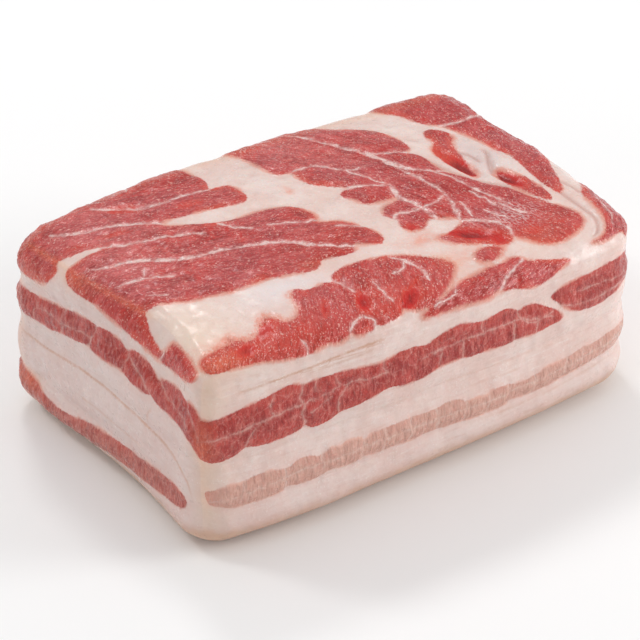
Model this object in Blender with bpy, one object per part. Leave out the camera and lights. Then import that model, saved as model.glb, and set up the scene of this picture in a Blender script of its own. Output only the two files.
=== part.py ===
"""Raw pork belly slab: one block of belly cut on four sides, skin underneath.

The slab is a rectangular block, a little taller at its left end, with a crowned
top, rounded rims, long sides that bow outward and layers that swell a little
between their seams. Units in the constants are millimetres; the mesh is in metres.
Left is -X, front is -Y, and the slab rests on its flat underside at z = 0.
"""

import math

import bmesh
import bpy

# Block
LENGTH = 140.2          # nominal block, along X
WIDTH = 91.6            # along Y
THICK = 54.0            # reference thickness that the four corners scale
FRONT_LEFT, BACK_LEFT, FRONT_RIGHT, BACK_RIGHT = 55.1, 58.6, 52.8, 50.3
CROWN = 3.2             # extra height in the middle of the top
# Rims
RIM = 5.4               # radius of every rim before the additions below
RIM_BACK_LEFT, RIM_BACK_RIGHT, RIM_FRONT_RIGHT, RIM_BASE = 5.8, 1.5, 3.4, 3.7
# How far the sides bow out from the block
BOW_RIGHT, BOW_LEFT, BOW_FRONT, BOW_BACK = 5.4, -1.45, 3.85, -0.4
BACK_LEFT_DIP = 3.8     # the top falls away towards the back left corner
LEAN_LEFT = 6.0         # the left cut leans in under the front left corner
SPUR_BACK_RIGHT = 3.9   # the back right corner reaches out
SAG_RIGHT = 0.85
FOOT_FRONT, FOOT_LEFT = 1.5, -1.0
# Layers
LAYERS, LAYER_SWELL = 4, 1.0
# Mesh: distances in from a rim, then an even pitch between
RIM_STEPS = (1.5, 3.2, 5.2, 7.8)
PITCH = 5.2


def smooth(x, low, high):
    t = min(max((x - low) / (high - low), 0.0), 1.0)
    return t * t * (3.0 - 2.0 * t)


def hump(x, centre, width):
    return math.exp(-(((x - centre) / width) ** 2))


def clip(x, low, high):
    return min(max(x, low), high)


def slab_point(x, y, z):
    """A point of the plain block's surface moved to the slab's surface."""
    hx, hy, hz = LENGTH / 2, WIDTH / 2, THICK / 2
    u, v, w = x / hx, y / hy, z / THICK
    upper = smooth(w, 0.4, 0.6)
    back, left = smooth(v, -0.3, 0.9), smooth(-u, -0.2, 0.9)
    right, front = smooth(u, -0.2, 0.9), smooth(-v, -0.2, 0.8)
    r = RIM + (1.0 - upper) * RIM_BASE + upper * (
        RIM_BACK_LEFT * back * left + RIM_BACK_RIGHT * back * right + RIM_FRONT_RIGHT * front * right
    )
    # rounded rims: the nearest point of a smaller inner block, plus one radius
    ix, iy = clip(x, r - hx, hx - r), clip(y, r - hy, hy - r)
    iz = clip(z - hz, r - hz, hz - r)
    dx, dy, dz = x - ix, y - iy, z - hz - iz
    away = max(math.sqrt(dx * dx + dy * dy + dz * dz), 1e-9)
    dx, dy, dz = dx / away, dy / away, dz / away
    x, y, z = ix + dx * r, iy + dy * r, iz + hz + dz * r
    u, v, w = x / hx, y / hy, z / THICK
    a, b = (u + 1) / 2, (v + 1) / 2
    height = (
        (1 - a) * (1 - b) * FRONT_LEFT + (1 - a) * b * BACK_LEFT
        + a * (1 - b) * FRONT_RIGHT + a * b * BACK_RIGHT
        + CROWN * (1 - u * u) * (1 - v * v)
        - BACK_LEFT_DIP * hump(u, -1, 0.35) * hump(v, 1, 0.6)
    )
    # bows and leans of the four sides
    px = (
        x + BOW_RIGHT * max(u, 0) ** 2 * (1 - v * v) - BOW_LEFT * max(-u, 0) ** 2 * (1 - v * v)
        + LEAN_LEFT * smooth(w, 0.55, 1.0) * hump(v, -0.45, 0.45) * clip(-u, 0, 1) ** 3
        + SPUR_BACK_RIGHT * hump(v, 1, 0.4) * clip(u, 0, 1) ** 2
        - FOOT_LEFT * hump(v, -0.1, 0.5) * hump(w, 0.1, 0.2) * clip(-u, 0, 1) ** 2
    )
    py = (
        y + BOW_BACK * max(v, 0) ** 2 * (1 - u * u) - BOW_FRONT * max(-v, 0) ** 2 * (1 - u * u)
        - FOOT_FRONT * hump(u, -0.65, 0.4) * hump(w, 0.08, 0.2) * clip(-v, 0, 1) ** 2
    )
    pz = z * height / THICK - SAG_RIGHT * hump(u, 0.95, 0.25) * hump(v, 0.1, 0.6) * w
    # each layer swells between its seams
    swell = LAYER_SWELL * abs(math.sin(math.pi * LAYERS * w)) * smooth(max(abs(u), abs(v)), 0.8, 1.0)
    return px + swell * dx, py + swell * dy, pz


def cuts(low, high):
    """Cutting positions along one side: close together at the rims, even between."""
    ends = [low + s for s in RIM_STEPS] + [high - s for s in RIM_STEPS]
    first, last = low + RIM_STEPS[-1], high - RIM_STEPS[-1]
    count = round((last - first) / PITCH)
    return sorted(ends + [first + (last - first) * i / count for i in range(1, count)])


def clear_scene():
    for obj in list(bpy.data.objects):
        bpy.data.objects.remove(obj, do_unlink=True)


def meat_material():
    material = bpy.data.materials.new("belly_meat")
    material.use_nodes = True
    shader = material.node_tree.nodes["Principled BSDF"]
    shader.inputs["Base Color"].default_value = (0.62, 0.30, 0.26, 1.0)
    shader.inputs["Roughness"].default_value = 0.38
    shader.inputs["Metallic"].default_value = 0.0
    shader.inputs["Subsurface Weight"].default_value = 0.2
    material.diffuse_color = (0.62, 0.30, 0.26, 1.0)
    return material


def build():
    clear_scene()
    bm = bmesh.new()
    bmesh.ops.create_cube(bm, size=1.0)
    bmesh.ops.scale(bm, vec=(LENGTH, WIDTH, THICK), verts=bm.verts)
    bmesh.ops.translate(bm, vec=(0.0, 0.0, THICK / 2), verts=bm.verts)
    spans = ((-LENGTH / 2, LENGTH / 2), (-WIDTH / 2, WIDTH / 2), (0.0, THICK))
    for axis, (low, high) in enumerate(spans):
        normal = [0.0, 0.0, 0.0]
        normal[axis] = 1.0
        for position in cuts(low, high):
            point = [0.0, 0.0, 0.0]
            point[axis] = position
            bmesh.ops.bisect_plane(
                bm, geom=bm.verts[:] + bm.edges[:] + bm.faces[:], dist=1e-4,
                plane_co=point, plane_no=normal,
            )
    for vert in bm.verts:
        vert.co = slab_point(*vert.co)
    # the footprint's middle goes to the origin, the underside stays at z = 0
    lows = [min(v.co[i] for v in bm.verts) for i in range(2)]
    highs = [max(v.co[i] for v in bm.verts) for i in range(2)]
    middle = [(lows[i] + highs[i]) / 2 for i in range(2)]
    for vert in bm.verts:
        vert.co.x = (vert.co.x - middle[0]) / 1000.0
        vert.co.y = (vert.co.y - middle[1]) / 1000.0
        vert.co.z = 0.0 if vert.co.z < 1e-3 else vert.co.z / 1000.0
    bmesh.ops.recalc_face_normals(bm, faces=bm.faces)
    mesh = bpy.data.meshes.new("pork_belly_slab")
    bm.to_mesh(mesh)
    print("triangles", sum(len(f.verts) - 2 for f in bm.faces), "footprint middle", middle)
    bm.free()
    mesh.shade_smooth()
    mesh.materials.append(meat_material())
    slab = bpy.data.objects.new("pork_belly_slab", mesh)
    collection = bpy.data.collections.new("pork_belly_slab")
    bpy.context.scene.collection.children.link(collection)
    collection.objects.link(slab)
    return slab


build()
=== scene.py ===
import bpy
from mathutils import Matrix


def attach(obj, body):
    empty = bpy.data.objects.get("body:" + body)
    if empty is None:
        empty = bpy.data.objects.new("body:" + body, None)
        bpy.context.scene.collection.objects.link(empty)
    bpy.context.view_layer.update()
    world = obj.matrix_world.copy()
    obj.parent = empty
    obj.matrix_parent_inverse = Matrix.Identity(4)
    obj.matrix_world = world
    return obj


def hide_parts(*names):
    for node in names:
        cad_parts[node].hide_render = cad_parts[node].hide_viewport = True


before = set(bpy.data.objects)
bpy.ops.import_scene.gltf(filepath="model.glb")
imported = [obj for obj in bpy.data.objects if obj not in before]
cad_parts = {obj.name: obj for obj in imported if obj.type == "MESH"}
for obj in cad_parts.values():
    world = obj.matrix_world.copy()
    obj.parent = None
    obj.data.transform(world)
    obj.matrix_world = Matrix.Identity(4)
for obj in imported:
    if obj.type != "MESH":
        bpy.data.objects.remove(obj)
"""Looks of a raw pork belly slab: one detailed mesh in place of the plain solid, with its lean and fat,
veins, fascia, wet surface and skin from node materials, on a pale floor under soft light."""
import math

import bpy
import numpy as np
from mathutils import Vector

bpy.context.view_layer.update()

# ---------------------------------------------------------------- the slab's form, in mm
LENGTH, WIDTH, THICK = 140.2, 91.6, 54.0
FRONT_LEFT, BACK_LEFT, FRONT_RIGHT, BACK_RIGHT = 55.1, 58.6, 52.8, 50.3
CROWN = 3.2
RIM, RIM_BACK_LEFT, RIM_BACK_RIGHT, RIM_FRONT_RIGHT, RIM_BASE = 5.4, 5.8, 1.5, 3.4, 3.7
BOW_RIGHT, BOW_LEFT, BOW_FRONT, BOW_BACK = 5.4, -1.45, 3.85, -0.4
BACK_LEFT_DIP, LEAN_LEFT, SPUR_BACK_RIGHT, SAG_RIGHT = 3.8, 6.0, 3.9, 0.85
FOOT_FRONT, FOOT_LEFT = 1.5, -1.0
LAYERS, LAYER_SWELL = 4, 1.0
MIDDLE_X, MIDDLE_Y = 2.993, -2.058      # footprint's middle, which is the frame's origin
ROUND = 2 * (LENGTH + WIDTH)            # once round the four sides


def smooth(x, low, high):
    t = np.clip((x - low) / (high - low), 0.0, 1.0)
    return t * t * (3.0 - 2.0 * t)


def hump(x, centre, width):
    return np.exp(-(((x - centre) / width) ** 2))


def slab_points(c):
    """Points of the plain block's surface moved to the slab's surface, as in the solid model."""
    x, y, z = c.T
    hx, hy, hz = LENGTH / 2, WIDTH / 2, THICK / 2
    u, v, w = x / hx, y / hy, z / THICK
    upper = smooth(w, 0.4, 0.6)
    back, left = smooth(v, -0.3, 0.9), smooth(-u, -0.2, 0.9)
    right, front = smooth(u, -0.2, 0.9), smooth(-v, -0.2, 0.8)
    r = RIM + (1 - upper) * RIM_BASE + upper * (
        RIM_BACK_LEFT * back * left + RIM_BACK_RIGHT * back * right + RIM_FRONT_RIGHT * front * right)
    inner = np.stack([np.clip(x, r - hx, hx - r), np.clip(y, r - hy, hy - r), np.clip(z - hz, r - hz, hz - r) + hz], 1)
    away = c - inner
    away /= np.maximum(np.linalg.norm(away, axis=1, keepdims=True), 1e-9)
    x, y, z = (inner + away * r[:, None]).T
    u, v, w = x / hx, y / hy, z / THICK
    a, b = (u + 1) / 2, (v + 1) / 2
    height = ((1 - a) * (1 - b) * FRONT_LEFT + (1 - a) * b * BACK_LEFT + a * (1 - b) * FRONT_RIGHT + a * b * BACK_RIGHT
              + CROWN * (1 - u * u) * (1 - v * v) - BACK_LEFT_DIP * hump(u, -1, 0.35) * hump(v, 1, 0.6))
    px = (x + BOW_RIGHT * np.maximum(u, 0) ** 2 * (1 - v * v) - BOW_LEFT * np.maximum(-u, 0) ** 2 * (1 - v * v)
          + LEAN_LEFT * smooth(w, 0.55, 1.0) * hump(v, -0.45, 0.45) * np.clip(-u, 0, 1) ** 3
          + SPUR_BACK_RIGHT * hump(v, 1, 0.4) * np.clip(u, 0, 1) ** 2
          - FOOT_LEFT * hump(v, -0.1, 0.5) * hump(w, 0.1, 0.2) * np.clip(-u, 0, 1) ** 2)
    py = (y + BOW_BACK * np.maximum(v, 0) ** 2 * (1 - u * u) - BOW_FRONT * np.maximum(-v, 0) ** 2 * (1 - u * u)
          - FOOT_FRONT * hump(u, -0.65, 0.4) * hump(w, 0.08, 0.2) * np.clip(-v, 0, 1) ** 2)
    pz = z * height / THICK - SAG_RIGHT * hump(u, 0.95, 0.25) * hump(v, 0.1, 0.6) * w
    swell = LAYER_SWELL * np.abs(np.sin(math.pi * LAYERS * w)) * smooth(np.maximum(abs(u), abs(v)), 0.8, 1.0)
    return np.stack([px + swell * away[:, 0] - MIDDLE_X, py + swell * away[:, 1] - MIDDLE_Y, pz], 1)


# ---------------------------------------------------------------- curves, distances and noise
def curve(points, closed=False, steps=6):
    """A smooth curve through a few points."""
    p = np.array(points, float)
    if closed:
        q = np.vstack([p[-1], p, p[0], p[1]])
    else:
        q = np.vstack([2 * p[0] - p[1], p, 2 * p[-1] - p[-2]])
    t = np.linspace(0, 1, steps, endpoint=False)[:, None]
    out = []
    for i in range(1, len(q) - 2):
        p0, p1, p2, p3 = q[i - 1], q[i], q[i + 1], q[i + 2]
        out.append(0.5 * (2 * p1 + (p2 - p0) * t + (2 * p0 - 5 * p1 + 4 * p2 - p3) * t ** 2
                          + (3 * p1 - p0 - 3 * p2 + p3) * t ** 3))
    if not closed:
        out.append(p[-1:])
    return np.vstack(out)


def nearest(px, py, line, closed):
    """Distance from each point to a polyline, its side (+ left), and how far along it is, 0 to 1."""
    a = line
    b = np.roll(line, -1, 0) if closed else line[1:]
    a = a if closed else line[:-1]
    d = b - a
    size = np.maximum((d ** 2).sum(1), 1e-12)
    along = np.concatenate([[0], np.cumsum(np.sqrt(size))])
    best = np.full(len(px), 1e9)
    side = np.ones(len(px))
    where = np.zeros(len(px))
    for lo in range(0, len(px), 6000):
        s = slice(lo, lo + 6000)
        ex, ey = px[s, None] - a[:, 0], py[s, None] - a[:, 1]
        t = np.clip((ex * d[:, 0] + ey * d[:, 1]) / size, 0, 1)
        fx, fy = ex - t * d[:, 0], ey - t * d[:, 1]
        dist = fx * fx + fy * fy
        k = dist.argmin(1)
        i = np.arange(len(k))
        best[s] = np.sqrt(dist[i, k])
        side[s] = np.where(d[k, 0] * ey[i, k] - d[k, 1] * ex[i, k] >= 0, 1.0, -1.0)
        where[s] = (along[k] + t[i, k] * np.sqrt(size[k])) / along[-1]
    return best, side, where


def within(px, py, line):
    """Even-odd test of points against a closed polyline."""
    odd = np.zeros(len(px), bool)
    x1, y1 = line.T
    x2, y2 = np.roll(line, -1, 0).T
    for i in range(len(line)):
        if y1[i] == y2[i]:
            continue
        cross = (y1[i] > py) != (y2[i] > py)
        odd ^= cross & (px < (x2[i] - x1[i]) * (py - y1[i]) / (y2[i] - y1[i]) + x1[i])
    return odd


def area_distance(px, py, points, reach=4.0, steps=6):
    """Signed distance to a closed smooth outline, + inside, cut off at -reach."""
    line = curve(points, True, steps)
    out = np.full(len(px), -reach)
    lo, hi = line.min(0) - reach, line.max(0) + reach
    near = np.nonzero((px > lo[0]) & (px < hi[0]) & (py > lo[1]) & (py < hi[1]))[0]
    if len(near):
        d, _, _ = nearest(px[near], py[near], line, True)
        out[near] = np.clip(np.where(within(px[near], py[near], line), d, -d), -reach, 99)
    return out


def lattice(ix, iy, iz, seed):
    n = (ix * 374761393 + iy * 668265263 + iz * 2147483647 + seed * 1274126177) & 0xFFFFFFFF
    n = ((n ^ (n >> 13)) * 1274126177) & 0xFFFFFFFF
    return ((n ^ (n >> 16)) & 0xFFFF) / 65535.0


def noise(x, y, z, seed=0):
    """Smooth value noise, 0 to 1, one cell per unit."""
    fx, fy, fz = np.floor(x), np.floor(y), np.floor(z)
    ix, iy, iz = fx.astype(np.int64), fy.astype(np.int64), fz.astype(np.int64)
    tx, ty, tz = x - fx, y - fy, z - fz
    tx, ty, tz = [t * t * t * (t * (t * 6 - 15) + 10) for t in (tx, ty, tz)]
    out = 0.0
    for dx in (0, 1):
        for dy in (0, 1):
            for dz in (0, 1):
                out = out + (tx if dx else 1 - tx) * (ty if dy else 1 - ty) * (tz if dz else 1 - tz) * lattice(
                    ix + dx, iy + dy, iz + dz, seed)
    return out


# ---------------------------------------------------------------- muscles seen on the top
# Top chart, mm: first number along the slab from its left end, second from its front.
# Numbers below 0, or past the slab's length and width, lie that far down its sides.
TOP_LEFT = [
    (0, 33.5), (4, 32.4), (9, 30.3), (14, 28.4), (20, 27.4), (26, 26.2), (32, 25.8), (38, 25.8), (43, 25), (47.5, 23.8),
    (51.5, 23.2), (54.2, 24.3), (55.6, 25.7), (60, 25), (64, 24.3), (66.3, 25), (67.6, 26.6), (69, 25.6), (71.5, 24.7),
    (74, 24.3), (75.8, 26), (75.6, 29.5), (74.4, 32.5), (73, 35.5), (70.5, 38.3), (67.2, 40), (66.2, 41.3), (67.2, 43),
    (67, 46), (65.2, 50), (61, 52.6), (56, 53.9), (50, 54.2), (44, 55), (39, 57.3), (34.5, 59.8), (31, 62.2),
    (34, 63.4), (38, 62.8), (44, 62), (50, 61), (54, 60), (57, 60.8), (58.4, 63.8), (58.4, 67.5), (57.4, 70.3),
    (54.4, 71.2), (52.4, 71.8), (53.4, 74.6), (53.7, 78), (53, 81.5), (52.2, 86), (51.5, 92), (48, 97.5), (40, 99.5),
    (30, 98.6), (20, 99.5), (10, 99), (0, 100.5), (-8, 99.5), (-10.3, 91), (-10.2, 82), (-9.9, 75), (-8.4, 70.5),
    (-5.8, 68.2), (-3, 67.5), (0, 68.8), (3, 67.3), (6, 65.5), (10, 63.9), (12.6, 62.6), (9, 62.2), (4, 62.9),
    (0, 63.9), (-2.4, 63.5), (-4.4, 61.4), (-5.4, 57), (-5.7, 50), (-7, 43), (-8.2, 36), (-9, 29), (-9, 24),
    (-8.2, 19), (-7, 13), (-5.6, 8), (-3.9, 4.6), (-2, 3.3), (-0.4, 4.6), (0.3, 8), (0, 12), (-0.8, 16),
    (-2, 19.4), (-4, 21), (-6, 22.4), (-6, 25), (-4.7, 28), (-2.8, 31),
]
TOP_FRONT = [
    (2, 6.6), (5, 8.1), (9, 8.7), (12, 9.1), (14.5, 11.2), (17, 9.4), (20, 9.1), (23, 10.6), (26, 13), (29, 13.7),
    (31, 12.2), (32.2, 9.9), (35, 10.4), (37.6, 12.6), (38.6, 16), (40, 18.5), (42.5, 19), (44.5, 17.7), (46.5, 17.6),
    (50, 18), (52.5, 17.4), (54, 19.4), (57, 20.7), (61, 21), (66, 20.7), (70, 19.9), (73, 18.9), (77, 16.8),
    (80, 14.6), (83, 12), (84.6, 10.2), (84.4, 8), (82.8, 6.2), (80, 4), (76, 1.5), (72, -0.5), (69, -1.2),
    (66, -0.9), (64, 0.4), (62.8, 1.2), (61.6, -0.2), (58, -1.1), (55, -1.6), (53, -0.9), (51.5, -1.9), (48.5, -2.2),
    (46.2, -1.7), (45.3, -0.9), (44, -1.8), (41, -2.2), (38.6, -1.7), (36, -2), (31, -2.5), (27, -2.3), (22, -1.3),
    (18, -0.3), (13, 0.2), (8, 0.4), (4.5, 0.8), (2.4, 2.3), (1.5, 4.4),
]
TOP_MIDDLE = [
    (66.5, 100), (67.2, 92), (67.6, 86), (69, 82), (69.7, 78), (69.6, 73), (70.4, 69.3), (71.4, 66.9), (74.3, 65.9),
    (74.6, 63), (74.8, 59), (75.8, 56.3), (78, 54.8), (80.5, 52.5), (82.3, 50.6), (80.3, 50), (78.7, 48.6),
    (78.4, 46.8), (79.6, 45), (80.6, 43.4), (81.6, 41.6), (83.6, 40.7), (87, 40.2), (90.3, 39.7), (87.6, 39),
    (84.8, 38), (83, 36.4), (82.2, 34.6), (83.1, 32.6), (84.1, 31.1), (83.3, 29.4), (83, 27), (84, 25.2), (86.2, 24.5),
    (88.6, 25.2), (91, 26.9), (92.9, 27.2), (94.2, 26), (96.5, 24.6), (98, 23.4), (97.2, 21.9), (94, 21.1),
    (90.4, 20.5), (87.3, 19.2), (87.8, 17.7), (90, 15), (93, 12.9), (96, 11.8), (98.3, 10.7), (100.2, 9.3),
    (102.5, 8.7), (104.4, 9.2), (105.4, 10.2), (106.3, 9), (107.6, 7.6), (110, 5.5), (113, 4), (116.3, 3.3), (120, 3.7), (124, 5),
    (126.7, 7.1), (127.6, 10), (127, 13.6), (125.3, 17), (122.5, 21), (120.5, 26), (118.4, 31), (115.5, 36),
    (112, 41.5), (109.8, 45), (109.5, 48), (109.6, 53), (108.8, 57), (107.6, 59.2), (109.4, 61.2), (110.3, 66), (109.2, 72), (106.5, 76.5),
    (103, 79.6), (99.5, 82.5), (97, 85.5), (95, 89), (93.5, 94), (92, 99), (84, 101), (74, 102),
]
TOP_LOW_FRONT = [
    (66.5, -2.9), (70, -0.7), (75, 1), (79, 2.7), (83, 3.5), (88, 4), (93, 4.4), (96, 4.3), (100, 4.8), (102.5, 3.8),
    (104, 2.2), (107, 0.8), (110, -0.8), (113, -2), (116.3, -3.4), (116, -4.4), (112, -5.4), (108, -6.5), (104, -7),
    (100, -6.4), (97, -5.2), (93, -4.6), (91, -4.2), (88, -5), (84, -4.8), (79, -4.3), (73, -4), (68.2, -3.8),
]
TOP_OVAL = [(90.2, 8), (90.9, 5.9), (93.5, 5.3), (97, 5.9), (99.6, 7.2), (100.6, 8.6), (98.3, 9.8), (95.5, 10.7), (92.2, 10)]
TOP_RIGHT_STRIP = [
    (116, 85), (118.8, 81), (120.3, 76.5), (122.3, 72), (124.3, 69.3), (125.5, 66), (126.7, 62), (127.8, 57), (129, 52.5),
    (129.9, 49), (129.6, 45), (128.9, 40), (128.3, 35), (127.6, 29), (127.8, 24.6), (129, 22.4), (130.5, 22.8),
    (131.9, 26), (133.2, 29.5), (135, 34), (137, 39), (140, 45), (143.5, 52), (146, 60), (147.5, 70), (148, 80),
    (148.5, 91), (147, 97.5), (140, 100), (132, 99), (124, 98), (118, 94.5), (115.2, 89.5),
]
TOP_END = [
    (125.2, -1.2), (128, -0.4), (130.4, 1.2), (132, 4.5), (132.4, 9), (132.9, 14), (133.9, 18.5), (136, 22),
    (138.6, 25), (142, 28), (146, 29), (149, 23), (149, 14), (147.5, 5), (144.5, -2), (142, -3.6), (138, -2.4),
    (134, -2.3), (130, -3), (127.2, -2.5),
]
TOP_FOLD_A = [
    (117.2, 65.4), (118.5, 68.3), (120.7, 69.1), (122.8, 67.2), (124, 64.2), (123.4, 61.3), (121.5, 59), (120.1, 56),
    (119.2, 52), (118.4, 48), (118, 44.5), (117, 41.4), (115.6, 40.8), (114.4, 43), (113.6, 47.5), (113.2, 52),
    (113.5, 56.5), (114.6, 59.3), (116.5, 61), (117, 63),
]
TOP_FOLD_B = [
    (119.7, 34.5), (120.5, 38.5), (122, 40.9), (123.6, 39), (125, 36), (126.1, 31), (126.4, 26), (125.9, 21.5),
    (124.7, 20.2), (123.2, 21.5), (121.8, 25), (120.3, 30),
]
TOP_AREAS = [TOP_LEFT, TOP_FRONT, TOP_MIDDLE, TOP_LOW_FRONT, TOP_OVAL, TOP_RIGHT_STRIP, TOP_END, TOP_FOLD_A, TOP_FOLD_B]

# ---------------------------------------------------------------- muscles seen on the sides
# Side chart, mm: first number round the slab from its near left edge (+ along the front, - along
# the left end), second down from the top.
SIDE_RED = [
    (0, 12.6), (5, 13), (10, 12), (15, 10.8), (20, 10.3), (23, 9.4), (27, 9), (30, 10.3), (34, 10), (38, 10.3),
    (42, 10.2), (48, 11), (54, 11.3), (60, 10.5), (64, 10.7), (68, 11.8), (71, 10.4), (75, 9.1), (78.5, 8.9),
    (82, 9.9), (86, 11.1), (90, 10.3), (94, 10), (97, 11.7), (98.8, 13), (100.5, 12.2), (103, 12.3), (106, 13.7),
    (109, 15.7), (111.5, 17.4), (113.3, 19.5), (112.6, 20.8), (110, 21.4), (104, 22), (98, 21.1), (94, 21.4), (88, 21),
    (82, 20.6), (79.5, 20), (76, 19.9), (71, 20.1), (66, 21.2), (60, 20.8), (56, 19.9), (52, 20.6), (46, 21.8),
    (41, 22.4), (38, 23.8), (33, 24.3), (30.3, 22.9), (27, 23.8), (18, 24.1), (13, 23.1), (10, 24.9), (5, 25.4),
    (0.5, 24.2), (-1.5, 21.5), (-4, 19.4), (-8, 18.5), (-15, 18.4), (-20, 18.4), (-23, 17.8), (-26, 18.6), (-32, 18.7),
    (-36, 18.1), (-39, 18.1), (-44, 18.9), (-49, 18.8), (-52, 18.3), (-57, 19.4), (-64, 20.5), (-70, 21.9), (-78, 22.2),
    (-84, 22.9), (-91, 24), (-99, 25.5), (-108, 25.6), (-117, 24), (-126, 24.6), (-135, 23), (-144, 22.2), (-152, 22.6), (-160, 20.6),
    (-166, 17.5), (-162, 14.6), (-154, 13.4), (-145, 12.6), (-137, 13.5), (-128, 12.3), (-119, 13.4), (-110, 13),
    (-101, 15.2), (-92, 16.3), (-84, 15), (-76, 14.6), (-70, 13.8), (-64, 12.8), (-58, 11.6), (-52, 10.9),
    (-49.3, 11.4), (-45, 10.6), (-40, 10.8), (-36.5, 12.4), (-34, 11.3), (-29, 11), (-25, 12.2), (-22.5, 13.6),
    (-20, 12.1), (-14, 10.4), (-9, 9.9), (-6.4, 10.4), (-5, 9.2), (-2.6, 10.2),
]
SIDE_RED_RIGHT = [
    (109.9, 13), (112, 11.1), (115, 10.2), (119, 9.8), (124, 10), (130, 9.6), (136, 9.8), (141, 10.8), (148, 12.4),
    (156, 12), (164, 13.3), (172, 12.4), (181, 13.6), (190, 13), (199, 15.1), (208, 17.8), (205, 20.6), (197, 21.8), (188, 21.2),
    (178, 23), (168, 21.8), (158, 22.6), (149, 20.8), (142, 19.2), (136, 18.9), (132, 20), (127, 21), (122, 20.8),
    (118, 20), (115, 18.4), (112, 15.6),
]
SIDE_RED_BACK = [
    (214, 17.6), (220, 13), (229, 11.3), (238, 10.6), (248, 11.8), (258, 12.4), (268, 14), (277, 16.4), (285, 17.9), (292, 20),
    (287, 22.4), (279, 21.6), (270, 22.4), (260, 21), (250, 22.4), (240, 21.8), (230, 22.8), (221, 21.6),
]
SIDE_PALE = [
    (1.5, 34.8), (5, 33.8), (8, 33), (11, 33.4), (14, 32.6), (19, 32.3), (23, 33), (25.5, 33), (28, 32), (32, 32.2),
    (34.5, 33.2), (38, 32), (41, 32.6), (43, 32), (47, 32.3), (48.3, 33.6), (51, 32.2), (56, 32.2), (60, 32.2),
    (66, 32.4), (71, 32.8), (75, 32.1), (79, 32.6), (81, 34.1), (84, 33.9), (88, 34.6), (90, 33.6), (95, 34.1),
    (98, 35), (104, 35), (108, 34), (113, 34), (118, 33.5), (121, 33), (126, 33.2), (131, 32.4), (136, 32.6),
    (142, 33.2), (150, 32), (160, 33.4), (171, 32.2), (182, 34), (193, 33.1), (203, 35), (213, 36.2), (224, 35.4), (233, 37.2),
    (229, 40.2), (219, 41.6), (208, 40.4), (196, 41.2), (184, 40), (172, 40.8), (160, 39), (150, 39.4), (142, 38.2),
    (134, 38.4), (128, 39), (122, 39.8), (116, 40.3), (110, 41), (102, 40.8), (97, 40.2), (94, 41), (88, 40.8),
    (80, 40.5), (75, 40.3), (69, 39.8), (63, 40), (58, 39.5), (53, 39.5), (49, 38.7), (46, 39.3), (42, 39.5),
    (38, 38.8), (35, 39.7), (30, 40), (25, 39.2), (23, 40), (17, 40.5), (10, 40.5), (5.5, 39.4), (2.4, 38.4),
]
SIDE_LOW = [
    (-7.2, 38.4), (-8.8, 37.5), (-12, 37.3), (-18, 37.6), (-24, 38.3), (-30, 39.4), (-38, 40.6), (-44, 41.2),
    (-50, 41.8), (-56, 42.8), (-62, 44.2), (-68, 44.6), (-74, 43.6), (-79, 41.6), (-84, 40.8), (-92, 39.8), (-101, 38.6),
    (-111, 38.8), (-122, 37.4), (-133, 38.2), (-143, 37.2), (-153, 38.6), (-163, 38.2), (-171, 40.2), (-166, 42.8), (-155, 43.8),
    (-143, 43), (-131, 44.2), (-119, 43.2), (-107, 44.8), (-96, 44.8), (-88, 46.6), (-80, 48.8), (-72, 50.8), (-64, 51.0),
    (-56, 49.3), (-48, 48.0), (-40, 46.9), (-32, 45.9), (-24, 44.9), (-16, 43.9), (-11, 43.3), (-8, 42.6), (-6.9, 40.7),
]
SIDE_AREAS = [SIDE_RED, SIDE_RED_RIGHT, SIDE_RED_BACK, SIDE_PALE, SIDE_LOW]
AREA_GRAIN = [-14, 62, -62, 18, -72, 80, -80]    # which way each top muscle's fibres run, degrees (the rest: 75)

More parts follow.
